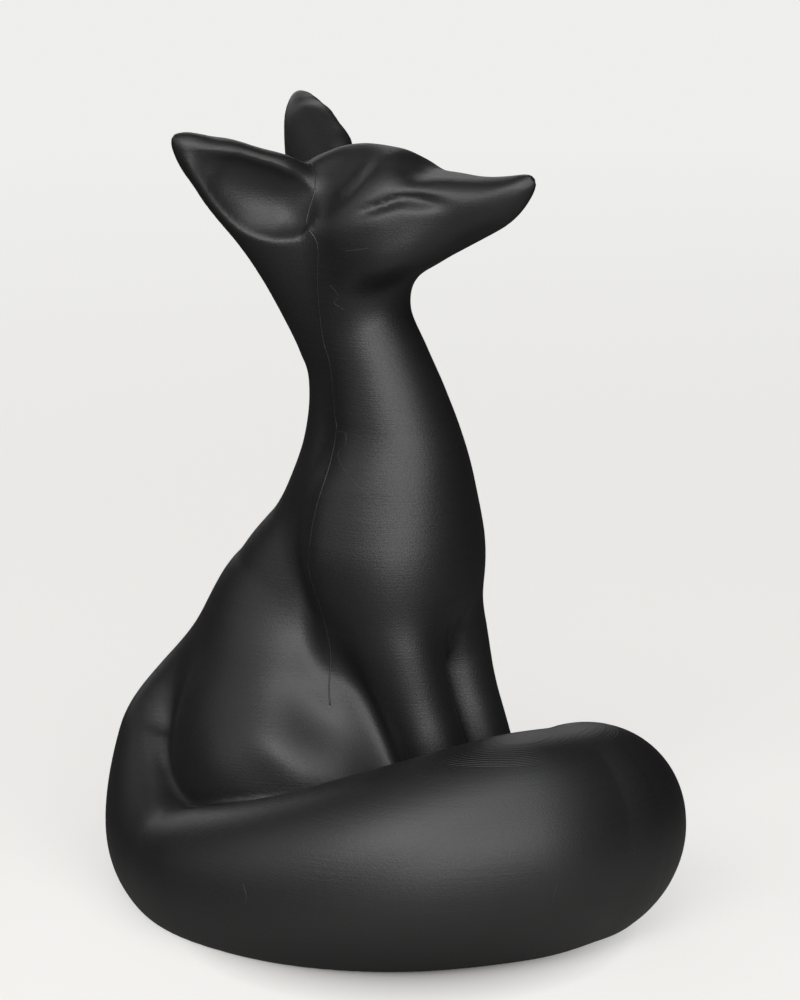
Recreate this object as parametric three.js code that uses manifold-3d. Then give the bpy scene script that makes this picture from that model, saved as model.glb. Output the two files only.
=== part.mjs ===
// Seated fox ornament, printed in one go in black plastic. Millimetres, +Z up.
// The fox faces +X and its left side is +Y. The origin is on the floor, under the body.
import * as THREE from 'three';
import Module from 'manifold-3d';

const wasm = await Module();
wasm.setup();

// Print: wall, flat bottom layers, infill, and the clearance between neighbouring sections
const WALL = 3.2;
const BOTTOM_SKIN = 1.2;
const SEAM_GAP = 0.35;
const INFILL_WALL = 0.9;
const INFILL_PITCH = 26;
const INFILL_GAP = 0.7;

// Where the wall is parted into sections
const NECK_SEAM_Z = 112;
const LEG_SEAM_Z = 46;
const EAR_LENGTH = 24;
const LEG_REACH = 3;
const LEG_SEAM_Y = SEAM_GAP / 4;
const TAIL_SEAM_SHARE = 0.5;
const HAUNCH_OVAL = [23, 19];
const HAUNCH_SEAM_Y = 6;

// Soft fillets where one form flows into the next
const NECK_FILLET = 2.5;
const EAR_FILLET = 3;
const THROAT_FILLET = 5;
const BROW_FILLET = 3;
const BELLY_FILLET = 4;
const HAUNCH_FILLET = 18;
const LEG_FILLET = 5;
const CREASE_FILLET = 1.5;
const CREASE_Y = [0, 5];
const SHOULDER_FILLET = 10;
const SHOULDER_Z = [56, 74];
const TAIL_FILLET = 2.5;
const TAIL_ROOT_FILLET = 6;
const TAIL_ROOT_X = [-24, -40];
const TAIL_ROOT_Z = [22, 40];
const EAR_RIM_RADIUS = 1.8;

// Stations of each form: centre x, y, z, half width, half depth. Pairs are given on the right side.
const BACK = [
  [-19, 0, 130, 8, 8],
  [-16.2, 0, 120, 7.6, 7.6],
  [-13.2, 0, 110, 7.2, 7.4],
  [-11.2, 0, 100, 6.9, 8.4],
  [-11.2, 0, 90, 7.1, 9.7],
  [-12.6, 0, 80.5, 8, 11.4],
  [-15, 0, 71.5, 9.6, 13.2],
  [-19.2, 0, 60.5, 12.2, 17],
  [-23.6, 0, 47, 16, 20.6],
  [-22.5, 0, 28, 19, 22],
  [-20, 0, 4, 21, 23],
];
const CHEST = [
  [-10, 0, 124, 9.5, 9.5],
  [-8, 0, 114, 9.6, 9.6],
  [-4.8, 0, 106, 10.3, 10.3],
  [-2.2, 0, 98, 11.6, 11.6],
  [-0.2, 0, 88, 13.5, 13.5],
  [-0.4, 0, 78, 15.8, 15.8],
  [-1, 0, 67, 17, 16.7],
  [-2.8, 0, 57, 15, 14.6],
];
const BELLY = [
  [-8, 0, 60, 11, 9],
  [-4, 0, 45, 12, 10],
  [0, 0, 28, 12, 10],
  [2, 0, 6, 12, 10],
];
const FORELEG = [
  [-4, -5, 80, 8, 10],
  [-1.8, -7.8, 68, 8.6, 10.4],
  [3.8, -8.8, 55, 8.1, 8.4],
  [8.8, -8.6, 42.4, 7.3, 6.8],
  [12.4, -8.4, 33, 6.9, 6.3],
  [18.5, -8, 16, 6.8, 6.2],
  [22, -7.5, 4, 7, 8],
];
const THIGH_CENTRE = [-17, -15, 22];
const THIGH_RADII = [24, 15, 20];
const THIGH_PITCH = 45;

// Skull, and the wedge of the muzzle between the bridge, the jaw line and the end of the nose
const SKULL_CENTRE = [-7, 0, 136.8];
const SKULL_RADII = [15.5, 12.3, 13.6];
const BRIDGE_X = 14;
const BRIDGE_Z = 145.6;
const BRIDGE_BEND = 0.012;
const JAW_POINT = [18.2, 133.5];
const JAW_PITCH = THREE.MathUtils.degToRad(28);
const NOSE_END = [31, 147];
const NOSE_LEAN = THREE.MathUtils.degToRad(10);
const CHEEK_LOW_Z = 131;
const CHEEK_ROUND = 0.018;
const CHEEK_LEAN = 0.95;
const CHIN_FILLET = 7;
const MUZZLE_TOP_FILLET = 4;
const MUZZLE_EDGE_FILLET = 6;
// Half width of the face along x
const FACE_HALF = [
  [-18, 5],
  [-12, 9.5],
  [-6, 11.8],
  [0, 11.6],
  [6, 10.2],
  [12, 8.3],
  [20, 6],
  [28, 4],
  [33, 2.9],
];

// Right ear, from the tip: distance along it, across it and to its front, half width, half depth
const EAR_TIP = [-36.5, -23, 152.4];
const EAR_AXIS = [0.614, 0.535, -0.58];
const EAR_WIDTH_AXIS = [0.558, 0.225, 0.798];
const EAR_TIP_CAP = 0.3;
const EAR = [
  [0.3, -0.3, 0, 1, 1],
  [1.2, -0.35, 0, 1.9, 1.9],
  [2.6, -0.4, 0, 2.8, 2.8],
  [4.4, -0.5, 0, 3.7, 3.7],
  [7, -0.6, 0, 4.8, 4.6],
  [11, -0.5, 0, 6.5, 5.5],
  [17, -0.6, 0, 8.5, 6.3],
  [23.7, -0.4, 0, 10.8, 6.8],
  [30, -0.3, 0, 13.3, 7.2],
  [38, -0.4, 0, 16.6, 7.6],
  [47, -0.6, 0, 20, 8],
];
const EAR_HOLLOW = [
  [4.2, 0, 4.2, 1.3, 1],
  [8, 0.1, 5, 3.8, 2.8],
  [12, 0.3, 5.8, 5.9, 4.8],
  [18.5, 0.5, 6.4, 7.6, 6.2],
  [23, 1.3, 6.9, 6.8, 6.1],
  [26, 2, 7.5, 5.4, 5.4],
  [28, 2.5, 8, 4, 4.4],
  [29.3, 2.8, 8.4, 2.8, 3.2],
  [30.1, 2.9, 8.6, 1.7, 2],
  [30.5, 2.9, 8.6, 0.8, 1],
];
// The left ear stands a little higher
const LEFT_EAR_RISE = 1.5;
const LEFT_EAR_Y = [4, 16];

// Tail: it leaves the rump, drops to the floor and follows a ring round the right side
const TAIL_ROOT = [
  [-27, 6, 51, 8, 8],
  [-38, 3.5, 43.5, 8, 8.6],
  [-47, -1.5, 33.5, 8.2, 9.5],
  [-50, -9.5, 22, 8.8, 12.5],
  [-45.3, -20.8, 12.5, 9.2, 13],
];
const TAIL_RING_CENTRE = [-3, 6];
// Ring stations: angle, ring radius, crest height, half width, middle height as a share of half depth
const TAIL_RING = [
  [230, 48, 20.5, 10.2, 0.7],
  [250, 46.8, 24.5, 13, 0.7],
  [275, 45.2, 31, 16.2, 0.76],
  [300, 44.8, 37.5, 18, 0.83],
  [327, 45, 41.8, 19, 0.88],
  [345, 45, 41, 18.8, 0.9],
];
// Rounded tip: the ring angle where it ends, and how full it stays
const TAIL_TIP_ANGLE = 379;
const TAIL_TIP_ROUND = 2.4;
const TAIL_TIP_SHARES = [0.36, 0.62, 0.8, 0.91, 0.97];
const TAIL_TIP_CAP = 0.5;

// Hollows and swells of the face and haunch: centre, radii, pitch, depth (a swell is negative)
const EYE_SLIT_REAR = { at: [1.7, -10, 140.2], radii: [4.5, 4, 1.3], pitch: -20, depth: 1.3 };
const EYE_SLIT_FRONT = { at: [8.8, -8.7, 141.5], radii: [4.5, 4, 1.5], pitch: 3, depth: 1.3 };
const EYELID = { at: [2.2, -11, 137.8], radii: [6, 5, 2.5], pitch: -15, depth: -0.8 };
const TEMPLE = { at: [-9.5, -10.5, 144], radii: [5.5, 8, 9], pitch: 42, depth: 3 };
const BROW = { at: [-1.5, -7, 147], radii: [3, 6, 9], pitch: 38, depth: -0.8 };
const GROIN = { at: [-3, -25, 38.5], radii: [2.6, 8, 8], pitch: -54, depth: 2 };

// Grid sizes for turning the forms into faces
const HEAD_CELL = 3.3;
const EAR_CELL = 2.2;
const TORSO_CELL = 6.4;
const LEG_CELL = 4.2;
const HAUNCH_CELL = 5.6;
const TAIL_CELL = 6.8;
const BASE_CELL = 7;
const INNER_CELL = 10;
const CUTTER_CELL = 5.5;
const STEPS_PER_STATION = 6;
const LEAST_SPAN = 1e-6;
const GRID_MARGIN = 7;
const OVERLAP_CELLS = 2;
const PROBE_STEP = 0.05;
const SETTLING_ROUNDS = 3;
const FLATTEST_SLOPE = 0.1;

const PLASTIC_COLOUR = 0x1d1d1e;
const PLASTIC_ROUGHNESS = 0.45;

// Forms as distance fields: negative inside, positive outside

function smoothMin(a, b, fillet) {
  const share = Math.max(fillet - Math.abs(a - b), 0) / fillet;
  return Math.min(a, b) - share * share * fillet / 4;
}

function smoothMax(a, b, fillet) {
  return -smoothMin(-a, -b, fillet);
}

// Scaled distance to an ellipsoid, from the offset along each axis and the radius there
function roundDistance(offsets, radii) {
  const near = Math.hypot(...offsets.map((offset, i) => offset / radii[i]));
  const steep = Math.hypot(...offsets.map((offset, i) => offset / radii[i] ** 2));
  return steep > 1e-9 ? near * (near - 1) / steep : -Math.min(...radii);
}

const through = points => new THREE.CatmullRomCurve3(points, false, 'catmullrom', 0.5);

// A form of elliptic sections along a smooth path through its stations
function loft(stations, widthAxisAt, startCap, endCap) {
  const spans = (stations.length - 1) * STEPS_PER_STATION;
  const path = through(stations.map(([x, y, z]) => new THREE.Vector3(x, y, z)));
  const girth = through(stations.map(([, , , width, depth]) => new THREE.Vector3(width, depth, 0)));
  const centres = path.getPoints(spans);
  const girths = girth.getPoints(spans);
  const frames = centres.map((centre, i) => {
    const before = centres[Math.max(i - 1, 0)];
    const after = centres[Math.min(i + 1, spans)];
    const along = after.clone().sub(before).normalize();
    const across = widthAxisAt(along).projectOnPlane(along).normalize();
    return { centre, along, across, over: along.clone().cross(across), girth: girths[i] };
  });
  const roundCap = size => Math.min(size.x, size.y);
  const caps = [startCap ?? roundCap(girths[0]), endCap ?? roundCap(girths[spans])];
  const offset = new THREE.Vector3();
  const axis = new THREE.Vector3();
  const past = (point, { centre, along }) => offset.subVectors(point, centre).dot(along);
  return point => {
    let nearest = 0;
    let least = Infinity;
    centres.forEach((centre, i) => {
      const distance = point.distanceToSquared(centre);
      if (distance >= least) return;
      least = distance;
      nearest = i;
    });
    const first = past(point, frames[nearest]) < 0 ? nearest - 1 : nearest;
    const span = THREE.MathUtils.clamp(first, 0, spans - 1);
    const start = frames[span];
    const end = frames[span + 1];
    const pastStart = past(point, start);
    const pastEnd = past(point, end);
    const share = THREE.MathUtils.clamp(pastStart / Math.max(pastStart - pastEnd, LEAST_SPAN), 0, 1);
    const mixed = key => axis.lerpVectors(start[key], end[key], share);
    offset.copy(point).sub(mixed('centre'));
    const sideways = offset.dot(mixed('across'));
    const upright = offset.dot(mixed('over'));
    const size = mixed('girth');
    const before = span === 0 ? Math.min(pastStart, 0) : 0;
    const beyond = span === spans - 1 ? Math.max(pastEnd, 0) : 0;
    return roundDistance([sideways, upright, before + beyond], [size.x, size.y, beyond > 0 ? caps[1] : caps[0]]);
  };
}

function pitched(degrees) {
  const turn = new THREE.Matrix4().makeRotationY(THREE.MathUtils.degToRad(degrees));
  return turn.invert();
}

function ellipsoid(centre, radii, pitch) {
  const middle = new THREE.Vector3(...centre);
  const turn = pitched(pitch);
  return point => roundDistance(point.clone().sub(middle).applyMatrix4(turn).toArray(), radii);
}

// Everything out to the right of a seam, within an oval seen from the side
function sideOval(centre, [halfLength, halfHeight], pitch, seamY) {
  const middle = new THREE.Vector3(...centre);
  const turn = pitched(pitch);
  return point => {
    const local = point.clone().sub(middle).applyMatrix4(turn);
    return Math.max(roundDistance([local.x, local.z], [halfLength, halfHeight]), point.y + seamY);
  };
}

// A soft local push inwards, which fades out beyond its radii
function dent({ at, radii, pitch, depth }) {
  const middle = new THREE.Vector3(...at);
  const turn = pitched(pitch);
  const reach = new THREE.Vector3(...radii);
  return point => depth * Math.exp(-point.clone().sub(middle).applyMatrix4(turn).divide(reach).lengthSq());
}

function onRightSide(point) {
  return new THREE.Vector3(point.x, -Math.abs(point.y), point.z);
}

function onRing(angle, radius) {
  const turn = THREE.MathUtils.degToRad(angle);
  return [TAIL_RING_CENTRE[0] + radius * Math.cos(turn), TAIL_RING_CENTRE[1] + radius * Math.sin(turn)];
}

function tailStations() {
  const ring = TAIL_RING.map(([angle, radius, crest, halfWidth, middle]) => {
    const halfDepth = crest / (1 + middle);
    return [...onRing(angle, radius), middle * halfDepth, halfWidth, halfDepth];
  });
  const [lastAngle, lastRadius] = TAIL_RING.at(-1);
  const [, , height, halfWidth, halfDepth] = ring.at(-1);
  const tip = TAIL_TIP_SHARES.map(share => {
    const shrink = Math.sqrt(1 - share ** TAIL_TIP_ROUND);
    const angle = THREE.MathUtils.lerp(lastAngle, TAIL_TIP_ANGLE, share);
    return [...onRing(angle, lastRadius), height, halfWidth * shrink, halfDepth * shrink];
  });
  return [...TAIL_ROOT, ...ring, ...tip];
}

const UP = new THREE.Vector3(0, 0, 1);
const leftward = () => new THREE.Vector3(0, 1, 0);
const earWidth = () => new THREE.Vector3(...EAR_WIDTH_AXIS);
const outward = along => UP.clone().cross(along);

const EAR_INWARD = new THREE.Vector3(...EAR_AXIS).normalize();

function earStations(stations) {
  const across = earWidth().projectOnPlane(EAR_INWARD).normalize();
  const axes = [EAR_INWARD, across, EAR_INWARD.clone().cross(across)];
  return stations.map(([along, sideways, forward, halfWidth, halfDepth]) => {
    const centre = new THREE.Vector3(...EAR_TIP);
    [along, sideways, forward].forEach((distance, i) => centre.addScaledVector(axes[i], distance));
    return [...centre.toArray(), halfWidth, halfDepth];
  });
}

const RIGHT_EAR = earStations(EAR);

const back = loft(BACK, leftward);
const chest = loft(CHEST, leftward);
const belly = loft(BELLY, leftward);
const skull = ellipsoid(SKULL_CENTRE, SKULL_RADII, 0);
const ear = loft(RIGHT_EAR, earWidth, EAR_TIP_CAP);
const earHollow = loft(earStations(EAR_HOLLOW), earWidth, undefined, EAR_TIP_CAP);
const foreleg = loft(FORELEG, leftward);
const thigh = ellipsoid(THIGH_CENTRE, THIGH_RADII, THIGH_PITCH);
const haunchSection = sideOval(THIGH_CENTRE, HAUNCH_OVAL, THIGH_PITCH, HAUNCH_SEAM_Y);
const tail = loft(tailStations(), outward, undefined, TAIL_TIP_CAP);
const dents = [EYE_SLIT_REAR, EYE_SLIT_FRONT, EYELID, TEMPLE, BROW, GROIN].map(dent);

const faceCurve = through(FACE_HALF.map(([x, half]) => new THREE.Vector3(x, half, 0)));
const faceOutline = faceCurve.getPoints((FACE_HALF.length - 1) * STEPS_PER_STATION);

function faceHalfAt(x) {
  const next = faceOutline.findIndex(corner => corner.x > x);
  if (next === 0) return faceOutline[0].y;
  if (next < 0) return faceOutline.at(-1).y;
  const start = faceOutline[next - 1];
  const end = faceOutline[next];
  return THREE.MathUtils.mapLinear(x, start.x, end.x, start.y, end.y);
}

function muzzle({ x, y, z }) {
  const top = z - BRIDGE_Z - BRIDGE_BEND * Math.max(x - BRIDGE_X, 0) ** 2;
  const jaw = (x - JAW_POINT[0]) * Math.sin(JAW_PITCH) - (z - JAW_POINT[1]) * Math.cos(JAW_PITCH);
  const front = (x - NOSE_END[0]) * Math.cos(NOSE_LEAN) - (z - NOSE_END[1]) * Math.sin(NOSE_LEAN);
  const half = faceHalfAt(x) - CHEEK_ROUND * Math.max(CHEEK_LOW_Z - z, 0) ** 2;
  const side = (Math.abs(y) - half) * CHEEK_LEAN;
  let level = smoothMax(jaw, front, CHIN_FILLET);
  level = smoothMax(level, top, MUZZLE_TOP_FILLET);
  level = smoothMax(level, side, MUZZLE_EDGE_FILLET);
  return Math.max(level, FACE_HALF[0][0] - x);
}

// Soft step from 0 to 1
function shareBetween(value, [start, end]) {
  const share = THREE.MathUtils.clamp((value - start) / (end - start), 0, 1);
  return share * share * (3 - 2 * share);
}

// The tail flows into the rump with a wider fillet than the one along the floor
function tailFilletAt(point) {
  return TAIL_FILLET + TAIL_ROOT_FILLET * shareBetween(point.x, TAIL_ROOT_X) * shareBetween(point.z, TAIL_ROOT_Z);
}

// A foreleg flows softly into the shoulder and meets the other one in a crease
function legFilletAt(point) {
  const low = THREE.MathUtils.lerp(CREASE_FILLET, LEG_FILLET, shareBetween(Math.abs(point.y), CREASE_Y));
  return THREE.MathUtils.lerp(low, SHOULDER_FILLET, shareBetween(point.z, SHOULDER_Z));
}

const tailSection = point => tail(point) - tailFilletAt(point) * TAIL_SEAM_SHARE;
const legSection = point => Math.max(foreleg(point) - LEG_REACH, point.y + LEG_SEAM_Y);

// Head, neck, trunk and haunches, open downwards
function trunk(point) {
  const right = onRightSide(point);
  const atEar = right.clone();
  atEar.z -= LEFT_EAR_RISE * shareBetween(point.y, LEFT_EAR_Y);
  const hollowEar = smoothMax(ear(atEar), -earHollow(atEar), EAR_RIM_RADIUS);
  const neck = smoothMin(back(point), chest(point), NECK_FILLET);
  const face = smoothMin(skull(point), muzzle(point), BROW_FILLET);
  const headAndEars = smoothMin(face, hollowEar, EAR_FILLET);
  let level = smoothMin(neck, headAndEars, THROAT_FILLET);
  level = smoothMin(level, belly(point), BELLY_FILLET);
  level = smoothMin(level, thigh(right), HAUNCH_FILLET);
  for (const push of dents) level += push(right);
  return level;
}

// The whole outside of the fox
function fox(point) {
  const standing = smoothMin(trunk(point), foreleg(onRightSide(point)), legFilletAt(point));
  return smoothMin(standing, tail(point), tailFilletAt(point));
}

// Faces of a form: one vertex for each sheet of surface in a grid cube, one quad for each crossed edge

const CUBE_EDGES = [];
for (let axis = 0; axis < 3; axis += 1) {
  for (let corner = 0; corner < 8; corner += 1) {
    if (!((corner >> axis) & 1)) CUBE_EDGES.push([corner, corner | (1 << axis), axis]);
  }
}

function edgeBetween(a, b) {
  return CUBE_EDGES.findIndex(([start, end]) => start === Math.min(a, b) && end === Math.max(a, b));
}

const CUBE_FACES = [];
for (let axis = 0; axis < 3; axis += 1) {
  const next = 1 << ((axis + 1) % 3);
  const last = 1 << ((axis + 2) % 3);
  for (const base of [0, 1 << axis]) {
    const corners = [base, base | next, base | next | last, base | last];
    const edges = corners.map((corner, i) => edgeBetween(corner, corners[(i + 1) % 4]));
    CUBE_FACES.push({ corners, edges });
  }
}

// Crossed edges of one cube, grouped by the sheet of surface that they lie on
function sheetsOf(inside) {
  const crossed = CUBE_EDGES.map(([start, end]) => inside[start] !== inside[end]);
  const parent = CUBE_EDGES.map((_, edge) => edge);
  const root = edge => (parent[edge] === edge ? edge : root(parent[edge]));
  const link = (a, b) => { parent[root(a)] = root(b); };
  for (const { corners, edges } of CUBE_FACES) {
    const cut = edges.filter(edge => crossed[edge]);
    if (cut.length === 2) link(cut[0], cut[1]);
    if (cut.length < 4) continue;
    corners.forEach((corner, i) => {
      if (!inside[corner]) link(edges[(i + 3) % 4], edges[i]);
    });
  }
  const sheets = new Map();
  crossed.forEach((isCrossed, edge) => {
    if (!isCrossed) return;
    const key = root(edge);
    if (!sheets.has(key)) sheets.set(key, []);
    sheets.get(key).push(edge);
  });
  return [...sheets.values()];
}

function gradient(field, point) {
  const probe = new THREE.Vector3();
  const slope = axis => {
    const ahead = field(probe.copy(point).setComponent(axis, point.getComponent(axis) + PROBE_STEP));
    const behind = field(probe.copy(point).setComponent(axis, point.getComponent(axis) - PROBE_STEP));
    return (ahead - behind) / (2 * PROBE_STEP);
  };
  return new THREE.Vector3(slope(0), slope(1), slope(2));
}

function settleOnSurface(field, point, cell) {
  for (let round = 0; round < SETTLING_ROUNDS; round += 1) {
    const slope = gradient(field, point);
    const move = field(point) / Math.max(slope.lengthSq(), FLATTEST_SLOPE);
    point.addScaledVector(slope, -THREE.MathUtils.clamp(move, -cell / 2, cell / 2));
  }
  return point;
}

// The same faces, each corner moved outwards along its normal
function swollen(geometry, distance) {
  const moved = geometry.clone();
  moved.computeVertexNormals();
  const corners = moved.attributes.position;
  const normals = moved.attributes.normal;
  const corner = new THREE.Vector3();
  const normal = new THREE.Vector3();
  for (let i = 0; i < corners.count; i += 1) {
    corner.fromBufferAttribute(corners, i).addScaledVector(normal.fromBufferAttribute(normals, i), distance);
    corners.setXYZ(i, ...corner.toArray());
  }
  return moved;
}

function skinOf(field, box, cell) {
  const counts = box.getSize(new THREE.Vector3()).divideScalar(cell).ceil().addScalar(1).toArray();
  const place = (i, j, k) => new THREE.Vector3(i, j, k).multiplyScalar(cell).add(box.min);
  const index = (i, j, k) => (k * counts[1] + j) * counts[0] + i;
  const values = new Float64Array(counts[0] * counts[1] * counts[2]);
  const each = (shrink, visit) => {
    for (let k = 0; k < counts[2] - shrink; k += 1) {
      for (let j = 0; j < counts[1] - shrink; j += 1) {
        for (let i = 0; i < counts[0] - shrink; i += 1) visit(i, j, k);
      }
    }
  };
  each(0, (i, j, k) => { values[index(i, j, k)] = field(place(i, j, k)); });

  const positions = [];
  const vertexOn = new Map();
  const cornerAt = (i, j, k, corner) => [i + (corner & 1), j + ((corner >> 1) & 1), k + (corner >> 2)];
  each(1, (i, j, k) => {
    const corners = [...Array(8).keys()].map(corner => cornerAt(i, j, k, corner));
    const levels = corners.map(corner => values[index(...corner)]);
    const inside = levels.map(level => level < 0);
    if (inside.every(Boolean) || !inside.some(Boolean)) return;
    for (const sheet of sheetsOf(inside)) {
      const middle = new THREE.Vector3();
      for (const edge of sheet) {
        const [start, end] = CUBE_EDGES[edge];
        const share = levels[start] / (levels[start] - levels[end]);
        middle.add(place(...corners[start]).lerp(place(...corners[end]), share));
        vertexOn.set(index(i, j, k) * CUBE_EDGES.length + edge, positions.length / 3);
      }
      positions.push(...settleOnSurface(field, middle.divideScalar(sheet.length), cell).toArray());
    }
  });

  const triangles = [];
  const corner = vertex => new THREE.Vector3().fromArray(positions, 3 * vertex);
  const addQuad = ([a, b, c, d]) => {
    const short = corner(a).distanceTo(corner(c)) <= corner(b).distanceTo(corner(d));
    triangles.push(...(short ? [a, b, c, a, c, d] : [a, b, d, b, c, d]));
  };
  each(1, (i, j, k) => {
    for (let axis = 0; axis < 3; axis += 1) {
      const here = [i, j, k];
      const ahead = here.map((value, other) => value + (other === axis ? 1 : 0));
      const startsInside = values[index(...here)] < 0;
      if (startsInside === values[index(...ahead)] < 0) continue;
      const next = (axis + 1) % 3;
      const last = (axis + 2) % 3;
      const quad = [[0, 0], [1, 0], [1, 1], [0, 1]].map(([backNext, backLast]) => {
        const cube = [...here];
        cube[next] -= backNext;
        cube[last] -= backLast;
        const startCorner = (backNext << next) | (backLast << last);
        const edge = edgeBetween(startCorner, startCorner | (1 << axis));
        return vertexOn.get(index(...cube) * CUBE_EDGES.length + edge);
      });
      addQuad(startsInside ? quad : quad.reverse());
    }
  });
  const geometry = new THREE.BufferGeometry();
  geometry.setAttribute('position', new THREE.Float32BufferAttribute(positions, 3));
  geometry.setIndex(triangles);
  return geometry;
}

// Solids that can be joined and cut

function solidOf(geometry) {
  const vertProperties = new Float32Array(geometry.attributes.position.array);
  const triVerts = new Uint32Array(geometry.index.array);
  return new wasm.Manifold(new wasm.Mesh({ numProp: 3, vertProperties, triVerts }));
}

function block(min, max) {
  const corners = [];
  for (let corner = 0; corner < 8; corner += 1) {
    corners.push([0, 1, 2].map(axis => ((corner >> axis) & 1 ? max : min)[axis]));
  }
  const faces = [[0, 2, 3, 1], [4, 5, 7, 6], [0, 1, 5, 4], [2, 6, 7, 3], [0, 4, 6, 2], [1, 3, 7, 5]];
  const geometry = new THREE.BufferGeometry();
  geometry.setAttribute('position', new THREE.Float32BufferAttribute(corners.flat(), 3));
  geometry.setIndex(faces.flatMap(([a, b, c, d]) => [a, b, c, a, c, d]));
  return geometry;
}

function largest(solid) {
  const parts = solid.decompose();
  return parts.reduce((best, part) => (part.volume() > best.volume() ? part : best));
}

// Box round a set of stations, with room for the faces
function roomFor(...lists) {
  const room = new THREE.Box3();
  for (const [x, y, z, width, depth] of lists.flat()) {
    const middle = new THREE.Box3().expandByPoint(new THREE.Vector3(x, y, z));
    room.union(middle.expandByScalar(Math.max(width, depth) + GRID_MARGIN));
  }
  return room;
}

const mirrored = stations => stations.map(([x, y, ...rest]) => [x, -y, ...rest]);
const bothSides = stations => [...stations, ...mirrored(stations)];

const reachOf = radii => Array(2).fill(Math.max(...radii));
const THIGH_SPAN = [[...THIGH_CENTRE, ...reachOf(THIGH_RADII)]];
const HEAD_SPAN = [[...SKULL_CENTRE, ...reachOf(SKULL_RADII)], [NOSE_END[0], 0, NOSE_END[1], 0, 0]];
const BODY_ROOM = roomFor(BACK, CHEST, HEAD_SPAN, ...[RIGHT_EAR, FORELEG, THIGH_SPAN].map(bothSides));
const TAIL_ROOM = roomFor(tailStations());
const WHOLE = BODY_ROOM.clone().union(TAIL_ROOM);
const FAR = WHOLE.getSize(new THREE.Vector3()).length();

// A large block on the low side or the high side of a level
const below = level => solidOf(block([-FAR, -FAR, -FAR], [FAR, FAR, level]));
const above = level => solidOf(block([-FAR, -FAR, level], [FAR, FAR, FAR]));

const FLOOR_UNDER = -OVERLAP_CELLS * INNER_CELL;

// Faces of a form inside a room, closed at the sides of the room and at two levels
function closedSkin(field, room, low, high, cell) {
  const grid = room.clone();
  grid.min.z = low - OVERLAP_CELLS * cell;
  grid.max.z = high + OVERLAP_CELLS * cell;
  const limits = new THREE.Box3(room.min.clone().addScalar(cell), room.max.clone().subScalar(cell));
  limits.min.z = low;
  limits.max.z = high;
  const closed = point => Math.max(
    field(point),
    ...limits.min.clone().sub(point).toArray(),
    ...point.clone().sub(limits.max).toArray(),
  );
  return skinOf(closed, grid, cell);
}

const outside = (room, low, high, cell) => solidOf(closedSkin(fox, room, low, high, cell));

// The hollow inside the wall of one form, and a smaller one that leaves a clearance for the infill
function hollowsIn(field, room) {
  const skin = closedSkin(point => field(point) + WALL, room, FLOOR_UNDER, WHOLE.max.z, INNER_CELL);
  return [skin, swollen(skin, -INFILL_GAP)].map(geometry => largest(solidOf(geometry)));
}

const [bodyHollow, bodyInfillRoom] = hollowsIn(trunk, BODY_ROOM);
const [tailHollow, tailInfillRoom] = hollowsIn(tail, TAIL_ROOM);
const cavity = bodyHollow.add(tailHollow);

// A closed cutter round one section, and a second one that is wider by the seam gap
function cuttersAlong(field, room, top) {
  const narrow = closedSkin(field, room, FLOOR_UNDER, top, CUTTER_CELL);
  return [narrow, swollen(narrow, SEAM_GAP)].map(solidOf);
}

const cutterRoom = stations => roomFor(stations).expandByScalar(CUTTER_CELL);

const onLeft = field => point => field(new THREE.Vector3(point.x, -point.y, point.z));

// Sections that follow one form each, in the order in which they take their share of the wall
const ON_SKIN = BOTTOM_SKIN + SEAM_GAP;
const TAIL = { field: tailSection, stations: tailStations(), foot: ON_SKIN, cell: TAIL_CELL };
const LEG = { field: legSection, stations: FORELEG, foot: 0, top: LEG_SEAM_Z, cell: LEG_CELL };
const THIGH = { field: haunchSection, stations: THIGH_SPAN, foot: ON_SKIN, cell: HAUNCH_CELL };
const toLeft = form => ({ ...form, field: onLeft(form.field), stations: mirrored(form.stations) });
const FORMED_SECTIONS = [
  ['tail', TAIL],
  ['right_foreleg', LEG],
  ['left_foreleg', toLeft(LEG)],
  ['right_haunch', THIGH],
  ['left_haunch', toLeft(THIGH)],
];

function bodySections() {
  const sections = {};
  const taken = [cavity, above(NECK_SEAM_Z)];
  let footprint = outside(WHOLE, FLOOR_UNDER, NECK_SEAM_Z, BASE_CELL);
  const wall = (room, cell, foot) => {
    const whole = outside(room, FLOOR_UNDER, NECK_SEAM_Z + OVERLAP_CELLS * cell, cell);
    return taken.reduce((left, other) => left.subtract(other), whole.subtract(below(foot)));
  };
  for (const [name, { field, stations, foot, top, cell }] of FORMED_SECTIONS) {
    const room = cutterRoom(stations);
    const [narrow, wide] = cuttersAlong(field, room, top ?? WHOLE.max.z);
    sections[name] = largest(wall(room, cell, foot).intersect(narrow));
    taken.push(wide);
    if (foot < ON_SKIN) footprint = footprint.subtract(wide);
  }
  sections.torso = largest(wall(WHOLE, TORSO_CELL, ON_SKIN));
  sections.bottom_skin = largest(footprint.subtract(below(0)).subtract(above(BOTTOM_SKIN)));
  return sections;
}

// A block on the tip side of the plane where an ear meets the head, on its own side of the middle plane
function earBlock(side, shift, middleGap) {
  const inward = EAR_INWARD.clone().setY(-side * EAR_INWARD.y);
  const seam = new THREE.Vector3(...EAR_TIP).setY(-side * EAR_TIP[1]);
  seam.addScaledVector(inward, EAR_LENGTH + shift);
  const size = 2 * EAR_LENGTH;
  const geometry = block([-size, -size, -2 * size], [size, size, 0]);
  const turn = new THREE.Quaternion().setFromUnitVectors(UP, inward);
  geometry.applyQuaternion(turn).translate(...seam.toArray());
  const limits = side < 0 ? [-FAR, -middleGap] : [middleGap, FAR];
  const ownSide = block([-FAR, limits[0], -FAR], [FAR, limits[1], FAR]);
  return solidOf(geometry).intersect(solidOf(ownSide));
}

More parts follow.
